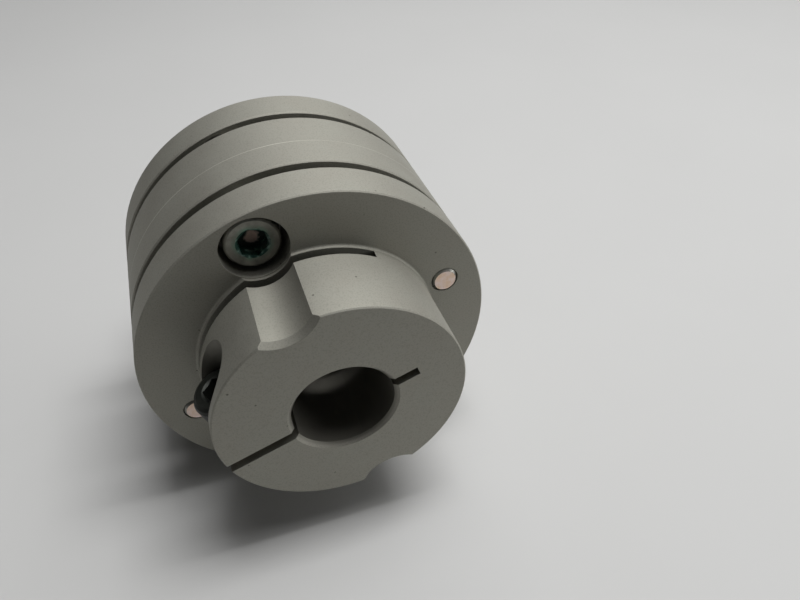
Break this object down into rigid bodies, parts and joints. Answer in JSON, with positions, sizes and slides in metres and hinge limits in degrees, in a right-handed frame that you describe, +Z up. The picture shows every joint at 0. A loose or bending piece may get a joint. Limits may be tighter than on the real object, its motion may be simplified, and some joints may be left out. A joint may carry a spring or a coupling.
{
  "type": "flexible disc coupling",
  "caption": "Flexible disc coupling: slit clamping hubs, screwed through packs of thin spring steel discs to a central spacer ring, join shafts end to end.",
  "frame": {"origin": "on the shaft axis, in the middle of the spacer ring", "axes": "+X along the shaft axis towards the front hub, +Z up as the coupling lies on its flanges"},
  "size_m": [0.0732, 0.068, 0.068],
  "materials": {
    "machined_aluminium": "fine satin, turned and bead blasted",
    "spring_steel": "rolled stainless strip",
    "collar_steel": "ground",
    "zinc_plated_steel": "zinc plated",
    "black_oxide_steel": "black oxide, oiled"
  },
  "bodies": {
    "front_hub": {"hub_front": "machined_aluminium", "hub_screws_front": "zinc_plated_steel", "hub_head_collars_front": "collar_steel", "hub_gap_collars_front": "collar_steel"},
    "front_discs_hub_half": {"disc_front_1": "spring_steel", "disc_front_2": "spring_steel"},
    "front_discs_spacer_half": {"disc_front_3": "spring_steel", "disc_front_4": "spring_steel"},
    "middle": {"spacer": "machined_aluminium", "spacer_screws_front": "zinc_plated_steel", "spacer_head_collars_front": "collar_steel", "spacer_gap_collars_front": "collar_steel", "spacer_screws_rear": "zinc_plated_steel", "spacer_head_collars_rear": "collar_steel", "spacer_gap_collars_rear": "collar_steel"},
    "rear_discs_spacer_half": {"disc_rear_3": "spring_steel", "disc_rear_4": "spring_steel"},
    "rear_discs_hub_half": {"disc_rear_1": "spring_steel", "disc_rear_2": "spring_steel"},
    "rear_hub": {"hub_rear": "machined_aluminium", "hub_screws_rear": "zinc_plated_steel", "hub_head_collars_rear": "collar_steel", "hub_gap_collars_rear": "collar_steel"},
    "front_clamp_screw": {"clamp_screw_front": "black_oxide_steel"},
    "rear_clamp_screw": {"clamp_screw_rear": "black_oxide_steel"}
  },
  "joints": [
    {"name": "front_bend_at_hub", "type": "hinge", "parent": "front_hub", "child": "front_discs_hub_half", "pos_m": [0.01, 0, 0], "axis": [0, 0.9373, 0.3486], "range_deg": [-1, 1], "stiffness_Nm_per_rad": 20, "deforming": ["disc_front_1", "disc_front_2"]},
    {"name": "front_axial_float", "type": "slide", "parent": "front_discs_hub_half", "child": "front_discs_spacer_half", "axis": [1, 0, 0], "range_m": [-0.0004, 0.0004], "stiffness_N_per_m": 20000, "deforming": ["disc_front_3", "disc_front_4"]},
    {"name": "front_bend_at_spacer", "type": "hinge", "parent": "front_discs_spacer_half", "child": "middle", "pos_m": [0.01, 0, 0], "axis": [0, -0.3486, 0.9373], "range_deg": [-1, 1], "stiffness_Nm_per_rad": 20},
    {"name": "rear_bend_at_spacer", "type": "hinge", "parent": "middle", "child": "rear_discs_spacer_half", "pos_m": [-0.01, 0, 0], "axis": [0, -0.3486, 0.9373], "range_deg": [-1, 1], "stiffness_Nm_per_rad": 20, "deforming": ["disc_rear_3", "disc_rear_4"]},
    {"name": "rear_axial_float", "type": "slide", "parent": "rear_discs_spacer_half", "child": "rear_discs_hub_half", "axis": [1, 0, 0], "range_m": [-0.0004, 0.0004], "stiffness_N_per_m": 20000, "deforming": ["disc_rear_1", "disc_rear_2"]},
    {"name": "rear_bend_at_hub", "type": "hinge", "parent": "rear_discs_hub_half", "child": "rear_hub", "pos_m": [-0.01, 0, 0], "axis": [0, 0.9373, 0.3486], "range_deg": [-1, 1], "stiffness_Nm_per_rad": 20},
    {"name": "front_clamp_turn", "type": "hinge", "parent": "front_hub", "child": "front_clamp_screw", "pos_m": [0.0292, -0.0184, -0.00044], "axis": [0, -0.3486, 0.9373], "range_deg": [0, 360]},
    {"name": "rear_clamp_turn", "type": "hinge", "parent": "rear_hub", "child": "rear_clamp_screw", "pos_m": [-0.0292, 0.01422, 0.01169], "axis": [0, -0.3486, 0.9373], "range_deg": [0, 360]}
  ]
}
